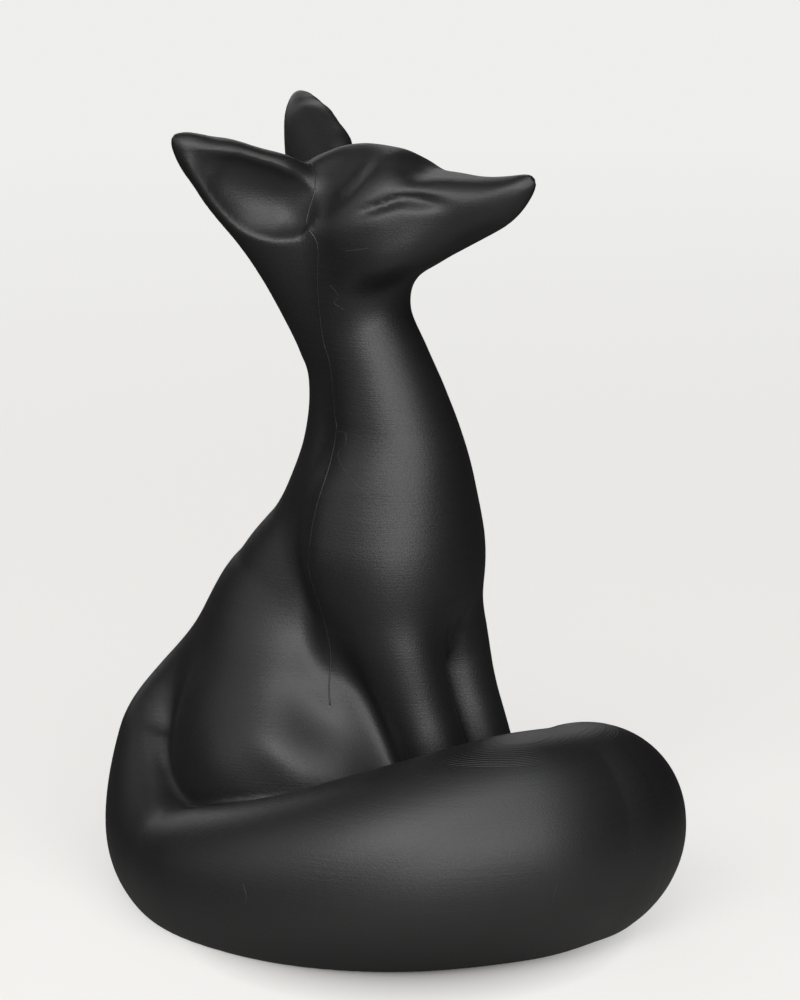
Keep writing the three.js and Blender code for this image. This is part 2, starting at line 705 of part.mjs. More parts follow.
function headSections() {
  const wall = (room, cell) => {
    const outer = outside(room, NECK_SEAM_Z - OVERLAP_CELLS * cell, WHOLE.max.z, cell);
    return outer.subtract(below(NECK_SEAM_Z + SEAM_GAP)).subtract(cavity);
  };
  const sections = {};
  let rest = wall(roomFor(HEAD_SPAN, bothSides(RIGHT_EAR)), HEAD_CELL);
  for (const [name, side] of [['right_ear', -1], ['left_ear', 1]]) {
    const room = roomFor(side < 0 ? RIGHT_EAR : mirrored(RIGHT_EAR));
    sections[name] = largest(wall(room, EAR_CELL).intersect(earBlock(side, 0, SEAM_GAP / 2)));
    rest = rest.subtract(earBlock(side, SEAM_GAP, 0));
  }
  sections.head = largest(rest);
  return sections;
}

// Crossed thin upright walls inside a hollow
function infillIn(room) {
  const { min, max } = WHOLE;
  const half = INFILL_WALL / 2;
  let lattice = null;
  const addWall = geometry => { lattice = lattice ? lattice.add(solidOf(geometry)) : solidOf(geometry); };
  const linesIn = (low, high) => {
    const first = Math.ceil(low / INFILL_PITCH);
    const last = Math.floor(high / INFILL_PITCH);
    return Array.from({ length: last - first + 1 }, (_, i) => (first + i) * INFILL_PITCH);
  };
  for (const x of linesIn(min.x, max.x)) addWall(block([x - half, min.y, ON_SKIN], [x + half, max.y, max.z]));
  for (const y of linesIn(min.y, max.y)) addWall(block([min.x, y - half, ON_SKIN], [max.x, y + half, max.z]));
  return largest(lattice.intersect(room));
}

function meshOf(name, solid) {
  const { vertProperties, triVerts, numProp } = solid.getMesh();
  const positions = [];
  for (let i = 0; i < vertProperties.length; i += numProp) positions.push(...vertProperties.slice(i, i + 3));
  const geometry = new THREE.BufferGeometry();
  geometry.setAttribute('position', new THREE.Float32BufferAttribute(positions, 3));
  geometry.setIndex([...triVerts]);
  geometry.computeVertexNormals();
  const plastic = new THREE.MeshStandardMaterial({
    color: PLASTIC_COLOUR,
    roughness: PLASTIC_ROUGHNESS,
    metalness: 0,
  });
  const mesh = new THREE.Mesh(geometry, plastic);
  mesh.name = name;
  return mesh;
}

const figure = new THREE.Group();
const sections = {
  ...headSections(),
  ...bodySections(),
  body_infill: infillIn(bodyInfillRoom),
  tail_infill: infillIn(tailInfillRoom.subtract(bodyHollow)),
};
for (const [name, solid] of Object.entries(sections)) figure.add(meshOf(name, solid));

export default figure;
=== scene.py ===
"""Seated fox ornament, printed in black plastic, in a plain studio.

The frame is in metres. The forms below are worked out in millimetres, in the same axes:
+X the way the fox faces, +Y to its left, +Z up, with the origin on the floor.
"""
import math

import bpy
import numpy as np
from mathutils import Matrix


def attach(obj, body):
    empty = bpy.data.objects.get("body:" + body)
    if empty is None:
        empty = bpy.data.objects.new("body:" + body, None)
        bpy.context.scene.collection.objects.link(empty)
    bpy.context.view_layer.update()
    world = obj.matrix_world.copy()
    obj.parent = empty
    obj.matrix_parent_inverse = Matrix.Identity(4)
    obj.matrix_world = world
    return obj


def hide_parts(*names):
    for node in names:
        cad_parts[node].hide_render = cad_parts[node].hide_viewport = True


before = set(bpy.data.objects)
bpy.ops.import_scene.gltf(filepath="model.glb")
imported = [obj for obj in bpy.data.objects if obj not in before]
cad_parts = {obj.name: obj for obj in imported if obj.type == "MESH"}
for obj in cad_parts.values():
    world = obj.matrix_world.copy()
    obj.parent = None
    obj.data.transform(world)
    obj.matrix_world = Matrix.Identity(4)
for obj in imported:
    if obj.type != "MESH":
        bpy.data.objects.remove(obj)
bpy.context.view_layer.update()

MM = 0.001
BODY = "root"

# Print: layer height, outer skin, and where the wall is parted into sections
LAYER = 0.2
SKIN = 0.8
BOTTOM_SKIN = 1.2
NECK_SEAM_Z = 112
LEG_SEAM_Z = 46
EAR_LENGTH = 24
LEG_REACH = 3
TAIL_SEAM_SHARE = 0.5
HAUNCH_OVAL = (23, 19)
HAUNCH_SEAM_Y = 6

# Soft fillets where one form flows into the next
NECK_FILLET = 2.5
EAR_FILLET = 3
THROAT_FILLET = 5
BROW_FILLET = 3
BELLY_FILLET = 4
HAUNCH_FILLET = 18
LEG_FILLET = 5
CREASE_FILLET = 1.5
CREASE_Y = (0, 5)
SHOULDER_FILLET = 10
SHOULDER_Z = (56, 74)
TAIL_FILLET = 2.5
TAIL_ROOT_FILLET = 6
TAIL_ROOT_X = (-24, -40)
TAIL_ROOT_Z = (22, 40)
EAR_RIM_RADIUS = 1.8
FLOOR_EDGE = 1.0

# Stations of each form: centre x, y, z, half width, half depth. Pairs are given on the right side.
BACK = [
    (-19, 0, 130, 8, 8),
    (-16.2, 0, 120, 7.6, 7.6),
    (-13.2, 0, 110, 7.2, 7.4),
    (-11.2, 0, 100, 6.9, 8.4),
    (-11.2, 0, 90, 7.1, 9.7),
    (-12.6, 0, 80.5, 8, 11.4),
    (-15, 0, 71.5, 9.6, 13.2),
    (-19.2, 0, 60.5, 12.2, 17),
    (-23.6, 0, 47, 16, 20.6),
    (-22.5, 0, 28, 19, 22),
    (-20, 0, 4, 21, 23),
]
CHEST = [
    (-10, 0, 124, 9.5, 9.5),
    (-8, 0, 114, 9.6, 9.6),
    (-4.8, 0, 106, 10.3, 10.3),
    (-2.2, 0, 98, 11.6, 11.6),
    (-0.2, 0, 88, 13.5, 13.5),
    (-0.4, 0, 78, 15.8, 15.8),
    (-1, 0, 67, 17, 16.7),
    (-2.8, 0, 57, 15, 14.6),
]
BELLY = [
    (-8, 0, 60, 11, 9),
    (-4, 0, 45, 12, 10),
    (0, 0, 28, 12, 10),
    (2, 0, 6, 12, 10),
]
FORELEG = [
    (-4, -5, 80, 8, 10),
    (-1.6, -8.2, 68, 8.8, 10.4),
    (3.9, -9, 56, 8.4, 8.7),
    (8.8, -8.6, 42.4, 7.3, 6.8),
    (12.4, -8.4, 33, 6.9, 6.3),
    (18.5, -8, 16, 6.8, 6.2),
    (22, -7.5, 4, 7, 8),
]
THIGH_CENTRE = (-17, -15, 22)
THIGH_RADII = (24, 15, 20)
THIGH_PITCH = 45

# Skull, and the wedge of the muzzle between the bridge, the jaw line and the end of the nose
SKULL_CENTRE = (-7, 0, 136.8)
SKULL_RADII = (15.5, 12.3, 13.6)
BRIDGE_X = 14
BRIDGE_Z = 145.6
BRIDGE_BEND = 0.012
JAW_POINT = (18.2, 133.5)
JAW_PITCH = math.radians(28)
NOSE_END = (31, 147)
NOSE_LEAN = math.radians(10)
CHEEK_LOW_Z = 131
CHEEK_ROUND = 0.018
CHEEK_LEAN = 0.95
MUZZLE_LEAN = 0.13
MUZZLE_LEAN_X = (6, 16)
MUZZLE_LEAN_Z = 145
CHIN_FILLET = 7
MUZZLE_TOP_FILLET = 4
MUZZLE_EDGE_FILLET = 7
# Half width of the face along x
FACE_HALF = [
    (-18, 5),
    (-12, 9.5),
    (-6, 11.8),
    (0, 11.6),
    (6, 10.2),
    (12, 8.3),
    (20, 6),
    (28, 4),
    (33, 2.9),
]

# Right ear, from the tip: distance along it, across it and to its front, half width, half depth
EAR_TIP = (-36.5, -23, 152.4)
EAR_AXIS = (0.614, 0.535, -0.58)
EAR_WIDTH_AXIS = (0.558, 0.225, 0.798)
EAR_TIP_CAP = 0.3
EAR = [
    (0.3, -0.3, 0, 1, 1),
    (1.2, -0.35, 0, 1.9, 1.9),
    (2.6, -0.4, 0, 2.8, 2.8),
    (4.4, -0.5, 0, 3.7, 3.7),
    (7, -0.6, 0, 4.8, 4.6),
    (11, -0.5, 0, 6.5, 5.5),
    (17, -0.6, 0, 8.5, 6.3),
    (23.7, -0.4, 0, 10.8, 6.8),
    (30, -0.3, 0, 13.3, 7.2),
    (38, -0.4, 0, 16.6, 7.6),
    (47, -0.6, 0, 20, 8),
]
EAR_HOLLOW = [
    (4.2, 0, 4.2, 1.3, 1),
    (8, 0.1, 5, 3.8, 2.8),
    (12, 0.3, 5.8, 5.9, 4.8),
    (18.5, 0.5, 6.4, 7.6, 6.2),
    (23, 1.3, 6.9, 6.8, 6.1),
    (26, 2, 7.5, 5.4, 5.4),
    (28, 2.5, 8, 4, 4.4),
    (29.3, 2.8, 8.4, 2.8, 3.2),
    (30.1, 2.9, 8.6, 1.7, 2),
    (30.5, 2.9, 8.6, 0.8, 1),
]
# The left ear stands a little higher
LEFT_EAR_RISE = 1.5
LEFT_EAR_Y = (4, 16)

# Tail: it leaves the rump, drops to the floor and follows a ring round the right side
TAIL_ROOT = [
    (-27, 6, 51, 8, 8),
    (-38, 3.5, 43.5, 8, 8.6),
    (-47, -1.5, 33.5, 8.2, 9.5),
    (-50, -9.5, 22, 8.8, 12.5),
    (-45.3, -20.8, 12.5, 9.2, 13),
]
TAIL_RING_CENTRE = (-3, 6)
# Ring stations: angle, ring radius, crest height, half width, middle height as a share of half depth
TAIL_RING = [
    (230, 48, 20.5, 10.2, 0.7),
    (250, 46.8, 24.5, 13, 0.7),
    (275, 45.2, 31, 16.2, 0.76),
    (300, 44.8, 37.5, 18, 0.83),
    (327, 45, 41.8, 19, 0.88),
    (345, 45, 41, 18.8, 0.9),
]
# Rounded tip: the ring angle where it ends, and how full it stays
TAIL_TIP_ANGLE = 379
TAIL_TIP_ROUND = 2.4
TAIL_TIP_SHARES = (0.2, 0.36, 0.5, 0.62, 0.72, 0.8, 0.86, 0.91, 0.945, 0.97)
TAIL_TIP_CAP = 0.8

# Hollows and swells: centre, radii, pitch, depth (a swell is negative)
DENTS = [
    ((1.7, -10, 140.2), (4.5, 4, 1.2), -20, 1.1),
    ((8.8, -8.7, 141.5), (4.5, 4, 1.3), 3, 1.1),
    ((2.2, -11, 137.8), (6, 5, 3), -15, -0.5),
    ((0, -11.5, 131.5), (9, 6, 7), 0, -1.5),
    ((-9.5, -10.5, 144), (5.5, 8, 9), 42, 3),
    ((-6.6, -8.5, 144.4), (2.8, 6, 5), 42, 1.3),
    ((-1.5, -7, 147), (3, 6, 9), 38, -0.8),
    ((2.2, -8, 145.4), (2.6, 4, 2.6), 20, -0.35),
    ((6.5, -4.5, 147.5), (3.2, 4, 2.6), 0, 0.4),
    ((-12.2, -7.5, 146), (4, 6, 6), 42, 2.4),
    ((-8, -15, 68), (5, 6, 14), -10, -1.4),
    ((2.4, -17.5, 39), (4.4, 9, 15), -24, 3),
    ((-6.5, -23.5, 39.5), (3, 8, 8), -54, 2.4),
    ((-11, -27.5, 35), (5, 8, 9), -58, -1.3),
    ((-21, -29, 29), (9, 8, 9), 20, -1.6),
    ((-4, -24, 45), (8, 8, 7), -54, 1.2),
]

# Grid for turning the forms into faces
CELL = 0.9
BLOCK = 4
BLOCK_REACH = 1.4
ROOM_LOW = np.array((-68.0, -66.0, -2.7))
ROOM_HIGH = np.array((70.0, 38.0, 160.0))
STEPS_PER_STATION = 12
FAR_LEVEL = 14.0
TINY = 1e-6
DENT_REACH = 3
FLATTEST_SLOPE = 0.1
PROBE_STEP = 0.04
NORMAL_STEP = 0.5
SETTLING_ROUNDS = 2

# Camera of the photograph
IMAGE_WIDTH = 800
IMAGE_HEIGHT = 1000
VIEW_AZIMUTH = 30
VIEW_ELEVATION = 15
VIEW_DISTANCE = 900
VIEW_AIM = np.array((0.0, 0.0, 80.0))
MM_PER_PIXEL = 0.195
SENSOR = 36
VIEW_END = 20

# Print seam down the right side, as columns and rows of the photograph, and its radius
SEAM_PIXELS = [
    (313, 165),
    (315, 188),
    (308, 212),
    (307, 227),
    (317, 245),
    (317, 285),
    (322, 336),
    (330, 367),
    (335, 415),
    (336, 432),
    (330, 463),
    (316, 508),
    (309, 548),
    (309, 572),
    (322, 614),
    (330, 652),
    (329, 687),
    (330, 705),
]
SEAM_RADIUS = 0.22
# Loose strands of plastic on the neck, the cheek and the tail, in the same pixels
STRAND_PIXELS = [
    [(330, 285), (338, 296), (334, 303), (345, 310)],
    [(335, 432), (345, 433), (345, 445), (338, 452), (341, 464), (353, 481), (368, 494), (385, 505)],
    [(344, 251), (356, 250), (367, 248)],
    [(243, 884), (246, 895), (245, 906)],
    [(557, 884), (554, 895), (553, 902)],
]
STRAND_RADIUS = 0.06
BEAD_SINK = 0.6
BEAD_SIDES = 8
PIXEL_STEPS = 8
CAST_START = 0.85
CAST_STEP = 0.7
CAST_LIMIT = 7
CAST_ROUNDS = 120
BREAK_LENGTH = 4
# Edges of the last layers round the summit of the tail
SUMMIT_STATION = 4
SUMMIT_LAYERS = 12
SUMMIT_RADIUS = 0.09
SUMMIT_TURNS = 180
SUMMIT_REACH = 34
HALVINGS = 24

# Plastic: colours, shine, roughness, texture scales, and relief as shares of a layer
PLASTIC_DARK = (0.006, 0.006, 0.0063, 1)
PLASTIC_LIGHT = (0.014, 0.014, 0.0145, 1)
PLASTIC_SHINE = 1.0
PLASTIC_ROUGHNESS = (0.42, 0.54)
STREAK = 40
STREAK_DETAIL = 1
GRAIN = 2600
GRAIN_DETAIL = 2
GRAIN_RELIEF = 0.2
LAYER_RELIEF = 0.1
STEP_ONSET = 24
STRAND_DARK = (0.02, 0.02, 0.02, 1)
STRAND_LIGHT = (0.07, 0.07, 0.07, 1)

# Studio, in metres: the floor, and how far it is lifted near the fox and far from it
FLOOR_REACH = 4
FLOOR_COLOUR = (0.09, 0.09, 0.088, 1)
FLOOR_SEEN = (0.55, 0.53, 0.51, 1)
FLOOR_LIFT = (1, 1, 0.985, 1)
LIFT_NEAR = 0.57
LIFT_FAR = 0.86
FLOOR_MIDDLE = (0, 0, 0)
FAR_REACH = (0.25, 0.8)
# The floor's lift fades out between the feet and the tail, painted shade that keeps the floor dark there,
# and a pool of the lifted floor, seen only by glossy rays, puts a painted reflection in the plastic
NOOK_CENTRE = (0.012, -0.018, 0)
NOOK_REACH = (0.022, 0.045)
POOL_CENTRE = (0.076, -0.072, 0)
POOL_REACH = (0.2, 0.05)
POOL_SHARE = 0.28
WORLD_COLOUR = (0.9, 0.9, 0.9, 1)
WORLD_STRENGTH = 0.01
SOFTBOX_DISTANCE = 1.2
# Softboxes: name, azimuth, elevation, width and height, watts
SOFTBOXES = [
    ("key", 48, 13, (1.1, 0.56), 5),
    ("side", 60, 56, (1.0, 1.0), 4.2),
    ("front", 8, 38, (0.7, 0.7), 4.6),
    ("left", 315, 28, (1.0, 1.0), 1.6),
    ("top", 0, 86, (1.2, 1.2), 0.6),
    ("back", 225, 20, (0.9, 0.6), 2),
]


def smooth_min(a, b, fillet):
    share = np.maximum(fillet - np.abs(a - b), 0) / fillet
    return np.minimum(a, b) - share * share * fillet / 4


def smooth_max(a, b, fillet):
    return -smooth_min(-a, -b, fillet)


def unit(vectors):
    return vectors / np.maximum(np.linalg.norm(vectors, axis=-1, keepdims=True), TINY)


def through(stations, steps):
    """Points on a smooth curve through the stations."""
    rows = np.array(stations, float)
    padded = np.vstack([2 * rows[0] - rows[1], rows, 2 * rows[-1] - rows[-2]])
    before, start, end, after = padded[:-3], padded[1:-2], padded[2:-1], padded[3:]
    spans = []
    for share in np.arange(steps) / steps:
        bend = 2 * before - 5 * start + 4 * end - after
        twist = 3 * start - before - 3 * end + after
        spans.append((2 * start + (end - before) * share + bend * share**2 + twist * share**3) / 2)
    curve = np.stack(spans, axis=1).reshape(-1, rows.shape[1])
    return np.vstack([curve, rows[-1]])


def round_distance(offsets, radii):
    """Scaled distance to an ellipsoid, from the offset along each axis and the radius there."""
    near = np.sqrt(sum((offset / radius) ** 2 for offset, radius in zip(offsets, radii)))
    steep = np.sqrt(sum((offset / radius**2) ** 2 for offset, radius in zip(offsets, radii)))
    return near * (near - 1) / np.maximum(steep, TINY)


def within(points, low, high, reach):
    return np.all((points > low - reach) & (points < high + reach), axis=1)


class Loft:
    """A form of elliptic sections along a smooth path through its stations."""

    def __init__(self, stations, width_axis=(0, 1, 0), start_cap=None, end_cap=None):
        rows = through(stations, STEPS_PER_STATION)
        self.centres = rows[:, :3]
        self.girths = rows[:, 3:5]
        self.along = unit(np.gradient(self.centres, axis=0))
        across = np.array(width_axis(self.along) if callable(width_axis) else width_axis, float)
        across = across - np.sum(across * self.along, axis=1, keepdims=True) * self.along
        self.across = unit(across)
        self.over = np.cross(self.along, self.across)
        self.caps = (start_cap or self.girths[0].min(), end_cap or self.girths[-1].min())
        reach = self.girths.max(axis=1, keepdims=True)
        self.low = (self.centres - reach).min(axis=0)
        self.high = (self.centres + reach).max(axis=0)

    def __call__(self, points):
        levels = np.full(len(points), FAR_LEVEL)
        near = within(points, self.low, self.high, FAR_LEVEL)
        if near.any():
            levels[near] = np.minimum(self.level(points[near]), FAR_LEVEL)
        return levels

    def ahead(self, points, station):
        return ((points - self.centres[station]) * self.along[station]).sum(axis=1)

    def level(self, points):
        last = len(self.centres) - 1
        squares = (self.centres**2).sum(axis=1) - 2 * points @ self.centres.T
        nearest = squares.argmin(axis=1)
        span = np.clip(np.where(self.ahead(points, nearest) < 0, nearest - 1, nearest), 0, last - 1)
        past_start = self.ahead(points, span)
        past_end = self.ahead(points, span + 1)
        share = np.clip(past_start / np.maximum(past_start - past_end, TINY), 0, 1)

        def mixed(values):
            return values[span] + (values[span + 1] - values[span]) * share[:, None]

        offset = points - mixed(self.centres)
        girth = mixed(self.girths)
        before = np.where(span == 0, np.minimum(past_start, 0), 0)
        beyond = np.where(span == last - 1, np.maximum(past_end, 0), 0)
        offsets = [
            (offset * mixed(self.across)).sum(axis=1),
            (offset * mixed(self.over)).sum(axis=1),
            before + beyond,
        ]
        cap = np.where(beyond > 0, self.caps[1], self.caps[0])
        return round_distance(offsets, [girth[:, 0], girth[:, 1], cap])


def pitched(points, centre, degrees):
    """Points seen from a centre, with the axes pitched about Y."""
    turn = math.radians(degrees)
    x, y, z = (points - np.array(centre, float)).T
    ahead = x * math.cos(turn) - z * math.sin(turn)
    up = x * math.sin(turn) + z * math.cos(turn)
    return np.stack([ahead, y, up])


def dents(points):
    """Soft local pushes inwards, which fade out beyond their radii."""
    total = np.zeros(len(points))
    for centre, radii, pitch, depth in DENTS:
        reach = DENT_REACH * max(radii)
        near = within(points, np.array(centre), np.array(centre), reach)
        local = pitched(points[near], centre, pitch) / np.array(radii, float)[:, None]
        total[near] += depth * np.exp(-(local**2).sum(axis=0))
    return total


def on_right_side(points):
    return points * (1, 0, 1) + np.abs(points) * (0, -1, 0)


def on_ring(angle, radius):
    turn = math.radians(angle)
    return TAIL_RING_CENTRE[0] + radius * math.cos(turn), TAIL_RING_CENTRE[1] + radius * math.sin(turn)


def tail_stations():
    ring = []
    for angle, radius, crest, half_width, middle in TAIL_RING:
        half_depth = crest / (1 + middle)
        ring.append((*on_ring(angle, radius), middle * half_depth, half_width, half_depth))
    last_angle, last_radius = TAIL_RING[-1][:2]
    height, half_width, half_depth = ring[-1][2:]
    for share in TAIL_TIP_SHARES:
        shrink = math.sqrt(1 - share**TAIL_TIP_ROUND)
        angle = last_angle + share * (TAIL_TIP_ANGLE - last_angle)
        ring.append((*on_ring(angle, last_radius), height, half_width * shrink, half_depth * shrink))
    return TAIL_ROOT + ring


def outward(along):
    return np.cross((0, 0, 1), along)


def ear_stations(stations):
    along = unit(np.array(EAR_AXIS, float))
    across = np.array(EAR_WIDTH_AXIS, float)
    across = unit(across - (across @ along) * along)
    front = np.cross(along, across)
    tip = np.array(EAR_TIP, float)
    return [(*(tip + s * along + w * across + n * front), hw, hd) for s, w, n, hw, hd in stations]


back = Loft(BACK)
chest = Loft(CHEST)
belly = Loft(BELLY)
ear = Loft(ear_stations(EAR), EAR_WIDTH_AXIS, start_cap=EAR_TIP_CAP)
ear_hollow = Loft(ear_stations(EAR_HOLLOW), EAR_WIDTH_AXIS, end_cap=EAR_TIP_CAP)
foreleg = Loft(FORELEG)
tail = Loft(tail_stations(), outward, end_cap=TAIL_TIP_CAP)
face_outline = through(FACE_HALF, STEPS_PER_STATION)


def share_between(values, start, end):
    """A soft step from 0 to 1."""
    share = np.clip((values - start) / (end - start), 0, 1)
    return share * share * (3 - 2 * share)


def skull(points):
    return round_distance((points - np.array(SKULL_CENTRE, float)).T, SKULL_RADII)


def thigh(points):
    return round_distance(pitched(points, THIGH_CENTRE, THIGH_PITCH), THIGH_RADII)


def muzzle(points):
    x, y, z = points.T
    top = z - BRIDGE_Z - BRIDGE_BEND * np.maximum(x - BRIDGE_X, 0) ** 2
    jaw = (x - JAW_POINT[0]) * math.sin(JAW_PITCH) - (z - JAW_POINT[1]) * math.cos(JAW_PITCH)
    front = (x - NOSE_END[0]) * math.cos(NOSE_LEAN) - (z - NOSE_END[1]) * math.sin(NOSE_LEAN)
    half = np.interp(x, *face_outline.T) - CHEEK_ROUND * np.maximum(CHEEK_LOW_Z - z, 0) ** 2
    half -= MUZZLE_LEAN * share_between(x, *MUZZLE_LEAN_X) * np.maximum(MUZZLE_LEAN_Z - z, 0)
    side = (np.abs(y) - half) * CHEEK_LEAN
    level = smooth_max(jaw, front, CHIN_FILLET)
    level = smooth_max(level, top, MUZZLE_TOP_FILLET)
    level = smooth_max(level, side, MUZZLE_EDGE_FILLET)
    return np.maximum(level, FACE_HALF[0][0] - x)


def tail_fillet_at(points):
    """The tail flows into the rump with a wider fillet than the one along the floor."""
    behind = share_between(points[:, 0], *TAIL_ROOT_X)
    high = share_between(points[:, 2], *TAIL_ROOT_Z)
    return TAIL_FILLET + TAIL_ROOT_FILLET * behind * high


def leg_fillet_at(points):
    """A foreleg flows softly into the shoulder and meets the other one in a crease."""
    outer = share_between(np.abs(points[:, 1]), *CREASE_Y)
    high = share_between(points[:, 2], *SHOULDER_Z)
    low_fillet = CREASE_FILLET + (LEG_FILLET - CREASE_FILLET) * outer
    return low_fillet + (SHOULDER_FILLET - low_fillet) * high


def fox(points):
    """The whole outside of the fox, on its flat first layer."""
    right = on_right_side(points)
    neck = smooth_min(back(points), chest(points), NECK_FILLET)
    at_ear = right - LEFT_EAR_RISE * share_between(points[:, 1], *LEFT_EAR_Y)[:, None] * (0, 0, 1)
    hollow_ear = smooth_max(ear(at_ear), -ear_hollow(at_ear), EAR_RIM_RADIUS)
    face = smooth_min(skull(points), muzzle(points), BROW_FILLET)
    head_and_ears = smooth_min(face, hollow_ear, EAR_FILLET)
    level = smooth_min(neck, head_and_ears, THROAT_FILLET)
    level = smooth_min(level, belly(points), BELLY_FILLET)
    level = smooth_min(level, thigh(right), HAUNCH_FILLET) + dents(right)
    level = smooth_min(level, foreleg(right), leg_fillet_at(points))
    level = smooth_min(level, tail(points), tail_fillet_at(points))
    return smooth_max(level, -points[:, 2], FLOOR_EDGE)


def slope_of(field, points, probe):
    slopes = np.empty((len(points), 3))
    for axis in range(3):
        step = np.zeros(3)
        step[axis] = probe
        slopes[:, axis] = (field(points + step) - field(points - step)) / (2 * probe)
    return slopes


def settled(field, points, rounds=SETTLING_ROUNDS):
    """Points moved onto the surface, and the directions out of it there."""
    for _ in range(rounds):
        slopes = slope_of(field, points, PROBE_STEP)
        move = field(points) / np.maximum((slopes**2).sum(axis=1), FLATTEST_SLOPE)
        points = points - np.clip(move, -CELL, CELL)[:, None] * slopes
    return points, unit(slope_of(field, points, NORMAL_STEP))


def grid_levels(field):
    """Field levels on a fine grid, worked out only near the surface."""
    blocks = np.ceil((ROOM_HIGH - ROOM_LOW) / (CELL * BLOCK)).astype(int)
    coarse = np.indices(blocks + 1).reshape(3, -1).T * (CELL * BLOCK) + ROOM_LOW
    corner_levels = field(coarse).reshape(blocks + 1)
    near = np.abs(corner_levels) < CELL * BLOCK * BLOCK_REACH
    active = np.zeros(blocks, bool)
    for shift in np.ndindex(2, 2, 2):
        part = tuple(slice(s, s + n) for s, n in zip(shift, blocks))
        active |= near[part]

    def spread(values):
        for axis in range(3):
            values = np.repeat(values, BLOCK, axis=axis)
        return values

    wanted = np.zeros(blocks * BLOCK + 1, bool)
    wanted[:-1, :-1, :-1] = spread(active)
    for axis in range(3):
        ahead = [slice(None)] * 3
        behind = [slice(None)] * 3
        ahead[axis] = slice(1, None)
        behind[axis] = slice(None, -1)
        wanted[tuple(ahead)] |= wanted[tuple(behind)].copy()
    levels = np.ones(wanted.shape)
    levels[:-1, :-1, :-1] = spread(corner_levels[:-1, :-1, :-1])
    levels[wanted] = field(np.argwhere(wanted) * CELL + ROOM_LOW)
    return levels


def skin_of(field):
    """Quads round the surface: one vertex for each crossed grid cell, one quad for each crossed edge."""
    levels = grid_levels(field)
    inside = levels < 0
    cells = np.array(levels.shape) - 1
    count = np.zeros(cells.prod())
    sums = np.zeros((3, cells.prod()))
    rings = []
    for axis in range(3):
        ahead = [slice(None)] * 3
        behind = [slice(None)] * 3
        ahead[axis] = slice(1, None)
        behind[axis] = slice(None, -1)
        crossed = np.argwhere(inside[tuple(behind)] != inside[tuple(ahead)])
        step = np.eye(3, dtype=int)[axis]
        start = levels[tuple(crossed.T)]
        end = levels[tuple((crossed + step).T)]
        places = crossed + (start / (start - end))[:, None] * step
        following = np.eye(3, dtype=int)[(axis + 1) % 3]
        last = np.eye(3, dtype=int)[(axis + 2) % 3]
        around = [crossed, crossed - following, crossed - following - last, crossed - last]
        ring = np.stack([np.ravel_multi_index(tuple(cell.T), cells) for cell in around], axis=1)
        for corner in ring.T:
            count += np.bincount(corner, minlength=len(count))
            for k in range(3):
                sums[k] += np.bincount(corner, weights=places[:, k], minlength=len(count))
        flipped = start >= 0
        ring[flipped] = ring[flipped][:, ::-1]
        rings.append(ring)
    used = np.flatnonzero(count)
    order = np.zeros(len(count), int)
    order[used] = np.arange(len(used))
    corners = (sums[:, used] / count[used]).T * CELL + ROOM_LOW
    return corners, order[np.vstack(rings)]


corners, quads = skin_of(fox)
corners, normals = settled(fox, corners)


def region_of(points):
    """Name of the wall section that holds each point."""
    right = on_right_side(points)
    is_right = points[:, 1] < 0
    x, y, z = points.T
    names = np.full(len(points), "torso", dtype=object)

    def sided(name):
        return np.where(is_right, "right_" + name, "left_" + name)

    local = pitched(right, THIGH_CENTRE, THIGH_PITCH)
    in_haunch = (round_distance(local[[0, 2]], HAUNCH_OVAL) < 0) & (right[:, 1] < -HAUNCH_SEAM_Y)
    names[in_haunch] = sided("haunch")[in_haunch]
    in_leg = (foreleg(right) < LEG_REACH) & (z < LEG_SEAM_Z)
    names[in_leg] = sided("foreleg")[in_leg]
    in_tail = tail(points) < tail_fillet_at(points) * TAIL_SEAM_SHARE
    names[in_tail] = "tail"
    names[z > NECK_SEAM_Z] = "head"
    from_tip = (right - np.array(EAR_TIP, float)) @ unit(np.array(EAR_AXIS, float))
    in_ear = (z > NECK_SEAM_Z) & (from_tip < EAR_LENGTH)
    names[in_ear] = sided("ear")[in_ear]
    names[z < BOTTOM_SKIN] = "bottom_skin"
    return names


